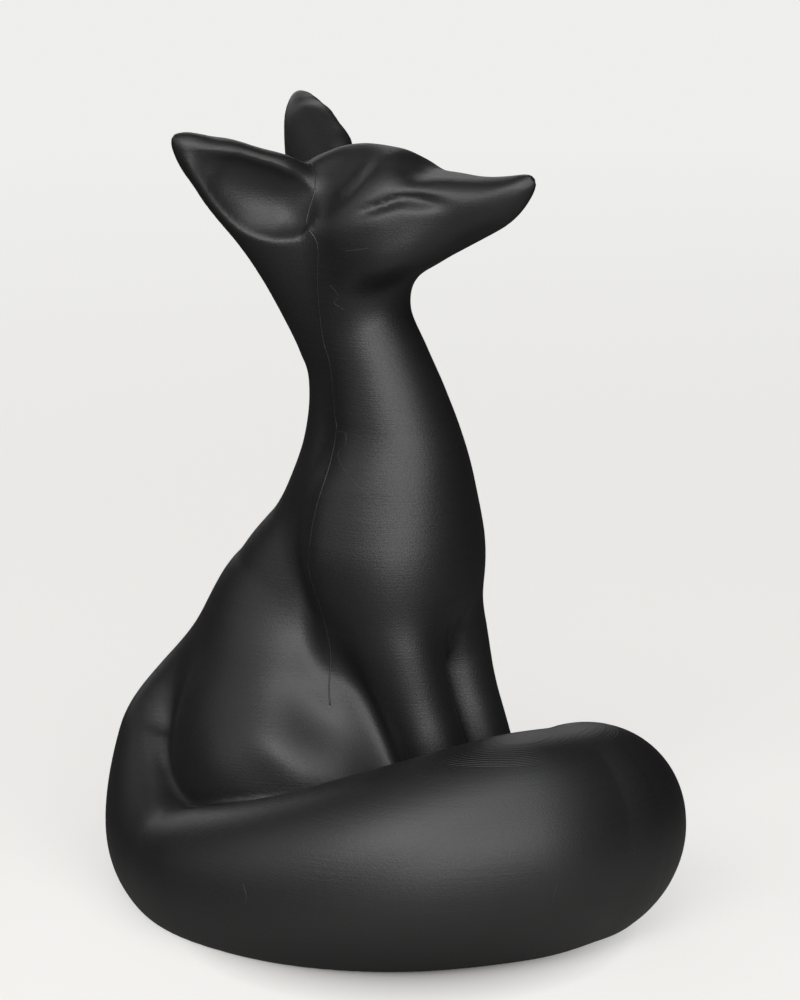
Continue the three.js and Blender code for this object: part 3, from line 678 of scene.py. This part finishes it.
def plastic(name, dark, light):
    """Satin plastic in fine horizontal layers, which show as steps where the surface lies nearly level."""
    material = bpy.data.materials.new(name)
    material.use_nodes = True
    nodes = material.node_tree.nodes
    links = material.node_tree.links
    shader = nodes["Principled BSDF"]
    shader.inputs["Specular IOR Level"].default_value = PLASTIC_SHINE
    place = nodes.new("ShaderNodeTexCoord")

    def maths(operation, first, second):
        node = nodes.new("ShaderNodeMath")
        node.operation = operation
        for socket, value in zip(node.inputs, (first, second)):
            if isinstance(value, (int, float)):
                socket.default_value = value
            else:
                links.new(value, socket)
        return node.outputs["Value"]

    def noise(scale, detail):
        stretch = nodes.new("ShaderNodeMapping")
        stretch.inputs["Scale"].default_value = scale
        links.new(place.outputs["Object"], stretch.inputs["Vector"])
        node = nodes.new("ShaderNodeTexNoise")
        node.inputs["Scale"].default_value = 1
        node.inputs["Detail"].default_value = detail
        links.new(stretch.outputs["Vector"], node.inputs["Vector"])
        return node.outputs["Fac"]

    def between(value, low, high):
        node = nodes.new("ShaderNodeMapRange")
        node.inputs["To Min"].default_value = low
        node.inputs["To Max"].default_value = high
        links.new(value, node.inputs["Value"])
        return node.outputs["Result"]

    per_metre = 1 / (LAYER * MM)
    layers = noise((STREAK, STREAK, per_metre), STREAK_DETAIL)
    grain = noise((GRAIN, GRAIN, GRAIN), GRAIN_DETAIL)
    tint = nodes.new("ShaderNodeValToRGB")
    tint.color_ramp.elements[0].color = dark
    tint.color_ramp.elements[1].color = light
    links.new(layers, tint.inputs["Fac"])
    links.new(tint.outputs["Color"], shader.inputs["Base Color"])
    links.new(between(grain, *PLASTIC_ROUGHNESS), shader.inputs["Roughness"])

    height = nodes.new("ShaderNodeSeparateXYZ")
    links.new(place.outputs["Object"], height.inputs["Vector"])
    facing = nodes.new("ShaderNodeNewGeometry")
    upward = nodes.new("ShaderNodeSeparateXYZ")
    links.new(facing.outputs["Normal"], upward.inputs["Vector"])
    level = maths("POWER", maths("ABSOLUTE", upward.outputs["Z"], 0), STEP_ONSET)
    in_layer = maths("FRACT", maths("MULTIPLY", height.outputs["Z"], per_metre), 0)
    riser = maths("SUBTRACT", 1, in_layer)
    steps = maths("MULTIPLY", riser, level)
    streaks = maths("MULTIPLY", layers, LAYER_RELIEF)
    relief = maths("ADD", maths("ADD", steps, streaks), maths("MULTIPLY", grain, GRAIN_RELIEF))
    bump = nodes.new("ShaderNodeBump")
    bump.inputs["Distance"].default_value = LAYER * MM
    links.new(relief, bump.inputs["Height"])
    links.new(bump.outputs["Normal"], shader.inputs["Normal"])
    return material


def shell(name, faces, material):
    """A closed thin shell: the outer faces, an inner copy of them and a rim between the two."""
    used, faces = np.unique(faces, return_inverse=True)
    faces = faces.reshape(-1, 4)
    outer = corners[used]
    inner = outer - normals[used] * SKIN
    size = len(used)
    edges = np.stack([faces, np.roll(faces, -1, axis=1)], axis=2).reshape(-1, 2)
    keys = edges[:, 0] * size + edges[:, 1]
    twins = edges[:, 1] * size + edges[:, 0]
    rim = edges[~np.isin(keys, twins)]
    rim_faces = np.stack([rim[:, 1], rim[:, 0], rim[:, 0] + size, rim[:, 1] + size], axis=1)
    every = np.vstack([faces, faces[:, ::-1] + size, rim_faces])
    mesh = bpy.data.meshes.new(name)
    mesh.from_pydata((np.vstack([outer, inner]) * MM).tolist(), [], every.tolist())
    mesh.polygons.foreach_set("use_smooth", np.ones(len(every), bool))
    mesh.normals_split_custom_set_from_vertices(np.vstack([normals[used], -normals[used]]).tolist())
    mesh.materials.append(material)
    piece = bpy.data.objects.new("skin_" + name, mesh)
    bpy.context.scene.collection.objects.link(piece)
    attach(piece, BODY)
    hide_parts(name)


black = plastic("black_plastic", PLASTIC_DARK, PLASTIC_LIGHT)
strand = plastic("strand", STRAND_DARK, STRAND_LIGHT)
regions = region_of(corners[quads].mean(axis=1))
for name in sorted(set(regions)):
    shell(name, quads[regions == name], black)
for name in ("body_infill", "tail_infill"):
    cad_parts[name].data.materials.clear()
    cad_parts[name].data.materials.append(black)


def direction(azimuth, elevation):
    """From the fox towards a place round it."""
    turn, lift = math.radians(azimuth), math.radians(elevation)
    return np.array((math.sin(turn) * math.cos(lift), -math.cos(turn) * math.cos(lift), math.sin(lift)))


def under_pixels(pixels):
    """Points of the surface under a smooth path of photograph pixels."""
    path = through(pixels, PIXEL_STEPS)
    towards = direction(VIEW_AZIMUTH, VIEW_ELEVATION)
    right = unit(np.cross((0, 0, 1), towards))
    up = np.cross(towards, right)
    across = (path[:, :1] - IMAGE_WIDTH / 2) * right + (IMAGE_HEIGHT / 2 - path[:, 1:]) * up
    rays = unit(across * MM_PER_PIXEL - towards * VIEW_DISTANCE)
    points = VIEW_AIM + towards * VIEW_DISTANCE + rays * VIEW_DISTANCE * CAST_START
    for _ in range(CAST_ROUNDS):
        points = points + rays * np.minimum(fox(points), CAST_LIMIT)[:, None] * CAST_STEP
    return points


def bead(name, path, radius, material, closed=False):
    """A thin round bead along a path on the surface, sunk more than halfway into it."""
    path, out = settled(fox, path)
    count = len(path)
    ahead = np.gradient(path, axis=0)
    if closed:
        ahead = np.roll(path, -1, axis=0) - np.roll(path, 1, axis=0)
    side = unit(np.cross(ahead, out))
    centre = path - out * radius * BEAD_SINK
    turns = np.arange(BEAD_SIDES) * 2 * math.pi / BEAD_SIDES
    rings = [centre + radius * (math.cos(a) * out + math.sin(a) * side) for a in turns]
    places = np.stack(rings, axis=1).reshape(-1, 3)
    faces = []
    for i in range(count if closed else count - 1):
        for j in range(BEAD_SIDES):
            k = (j + 1) % BEAD_SIDES
            here, there = i * BEAD_SIDES, (i + 1) % count * BEAD_SIDES
            faces.append((here + j, here + k, there + k, there + j))
    if not closed:
        faces.append(tuple(range(BEAD_SIDES))[::-1])
        faces.append(tuple(range((count - 1) * BEAD_SIDES, count * BEAD_SIDES)))
    mesh = bpy.data.meshes.new(name)
    mesh.from_pydata((places * MM).tolist(), [], faces)
    mesh.polygons.foreach_set("use_smooth", np.ones(len(faces), bool))
    mesh.materials.append(material)
    piece = bpy.data.objects.new(name, mesh)
    bpy.context.scene.collection.objects.link(piece)
    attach(piece, BODY)


def summit_edges():
    """Outlines of the surface at the last layer heights, round the summit of the tail."""
    angle, radius, crest = TAIL_RING[SUMMIT_STATION][:3]
    x, y = on_ring(angle, radius)
    turns = np.arange(SUMMIT_TURNS) * 2 * math.pi / SUMMIT_TURNS
    spokes = np.stack([np.cos(turns), np.sin(turns), 0 * turns], axis=1)
    edges = []
    for layer in range(1, SUMMIT_LAYERS + 1):
        middle = np.array((x, y, crest - layer * LAYER))
        low = np.zeros(SUMMIT_TURNS)
        high = np.full(SUMMIT_TURNS, float(SUMMIT_REACH))
        for _ in range(HALVINGS):
            half = (low + high) / 2
            inside = tail(middle + spokes * half[:, None]) < 0
            low = np.where(inside, half, low)
            high = np.where(inside, high, half)
        edges.append(middle + spokes * low[:, None])
    return edges


seam = under_pixels(SEAM_PIXELS)
breaks = np.flatnonzero(np.linalg.norm(np.diff(seam, axis=0), axis=1) > BREAK_LENGTH) + 1
for number, run in enumerate(np.split(seam, breaks)):
    if len(run) > 2:
        bead(f"seam_{number}", run, SEAM_RADIUS, black)
for number, pixels in enumerate(STRAND_PIXELS):
    bead(f"strand_{number}", under_pixels(pixels), STRAND_RADIUS, strand)
for number, edge in enumerate(summit_edges()):
    bead(f"summit_layer_{number}", edge, SUMMIT_RADIUS, black, closed=True)


def add_camera():
    azimuth = math.radians(VIEW_AZIMUTH)
    elevation = math.radians(VIEW_ELEVATION)
    towards = direction(VIEW_AZIMUTH, VIEW_ELEVATION)
    camera = bpy.data.objects.new("camera", bpy.data.cameras.new("camera"))
    bpy.context.scene.collection.objects.link(camera)
    camera.location = (VIEW_AIM + towards * VIEW_DISTANCE) * MM
    camera.rotation_euler = (math.pi / 2 - elevation, 0, azimuth)
    camera.data.sensor_fit = "VERTICAL"
    camera.data.sensor_height = SENSOR
    camera.data.lens = VIEW_DISTANCE / MM_PER_PIXEL / IMAGE_HEIGHT * SENSOR
    camera.data.clip_end = VIEW_END
    bpy.context.scene.camera = camera


def add_floor():
    """A pale floor that keeps the shadow, lifted to the paper white of the photograph where it is seen."""
    mesh = bpy.data.meshes.new("floor")
    reach = FLOOR_REACH
    edge = [(-reach, -reach, 0), (reach, -reach, 0), (reach, reach, 0), (-reach, reach, 0)]
    mesh.from_pydata(edge, [], [(0, 1, 2, 3)])
    floor = bpy.data.objects.new("floor", mesh)
    bpy.context.scene.collection.objects.link(floor)
    material = bpy.data.materials.new("floor")
    material.use_nodes = True
    nodes = material.node_tree.nodes
    links = material.node_tree.links
    nodes.remove(nodes["Principled BSDF"])
    place = nodes.new("ShaderNodeTexCoord")
    path = nodes.new("ShaderNodeLightPath")

    def by_distance(centre, distances, value):
        """From 0 at the first distance from a centre to the value at the second one."""
        distance = nodes.new("ShaderNodeVectorMath")
        distance.operation = "DISTANCE"
        links.new(place.outputs["Object"], distance.inputs[0])
        distance.inputs[1].default_value = centre
        ramp = nodes.new("ShaderNodeMapRange")
        ramp.inputs["From Min"].default_value = distances[0]
        ramp.inputs["From Max"].default_value = distances[1]
        ramp.inputs["To Max"].default_value = value
        links.new(distance.outputs["Value"], ramp.inputs["Value"])
        return ramp.outputs["Result"]

    def joined(operation, first, second):
        node = nodes.new("ShaderNodeMath")
        node.operation = operation
        links.new(first, node.inputs[0])
        links.new(second, node.inputs[1])
        return node.outputs["Value"]

    def diffuse(colour):
        node = nodes.new("ShaderNodeBsdfDiffuse")
        node.inputs["Color"].default_value = colour
        return node.outputs["BSDF"]

    def mixed(share, first, second):
        node = nodes.new("ShaderNodeMixShader")
        links.new(share, node.inputs["Fac"])
        links.new(first, node.inputs[1])
        links.new(second, node.inputs[2])
        return node.outputs["Shader"]

    lift = nodes.new("ShaderNodeEmission")
    lift.inputs["Color"].default_value = FLOOR_LIFT
    # Painted shade: the lift fades to nothing between the feet and the tail, so the floor stays dark there
    links.new(by_distance(NOOK_CENTRE, NOOK_REACH, LIFT_NEAR), lift.inputs["Strength"])
    near = nodes.new("ShaderNodeAddShader")
    links.new(diffuse(FLOOR_SEEN), near.inputs[0])
    links.new(lift.outputs["Emission"], near.inputs[1])
    far = nodes.new("ShaderNodeEmission")
    far.inputs["Color"].default_value = FLOOR_LIFT
    far.inputs["Strength"].default_value = LIFT_FAR
    pale = mixed(by_distance(FLOOR_MIDDLE, FAR_REACH, 1), near.outputs["Shader"], far.outputs["Emission"])
    # Painted reflection: glossy rays see part of the lifted floor, only in a pool in front of the fox on
    # its right
    painted_reflection = by_distance(POOL_CENTRE, POOL_REACH, POOL_SHARE)
    mirrored = joined("MULTIPLY", path.outputs["Is Glossy Ray"], painted_reflection)
    straight = joined("MAXIMUM", path.outputs["Is Camera Ray"], path.outputs["Is Transmission Ray"])
    shown = mixed(joined("MAXIMUM", straight, mirrored), diffuse(FLOOR_COLOUR), pale)
    links.new(shown, nodes["Material Output"].inputs["Surface"])
    mesh.materials.append(material)


def add_softbox(name, azimuth, elevation, size, watts):
    light = bpy.data.objects.new(name, bpy.data.lights.new(name, "AREA"))
    bpy.context.scene.collection.objects.link(light)
    light.data.shape = "RECTANGLE"
    light.data.size, light.data.size_y = size
    light.data.energy = watts
    light.visible_camera = False
    light.location = VIEW_AIM * MM + direction(azimuth, elevation) * SOFTBOX_DISTANCE
    light.rotation_euler = (math.radians(90 - elevation), 0, math.radians(azimuth))


def add_studio():
    world = bpy.data.worlds.new("studio")
    bpy.context.scene.world = world
    world.use_nodes = True
    world.node_tree.nodes["Background"].inputs["Color"].default_value = WORLD_COLOUR
    world.node_tree.nodes["Background"].inputs["Strength"].default_value = WORLD_STRENGTH
    for name, azimuth, elevation, size, watts in SOFTBOXES:
        add_softbox(name, azimuth, elevation, size, watts)
    bpy.context.scene.view_settings.view_transform = "Standard"


add_camera()
add_floor()
add_studio()
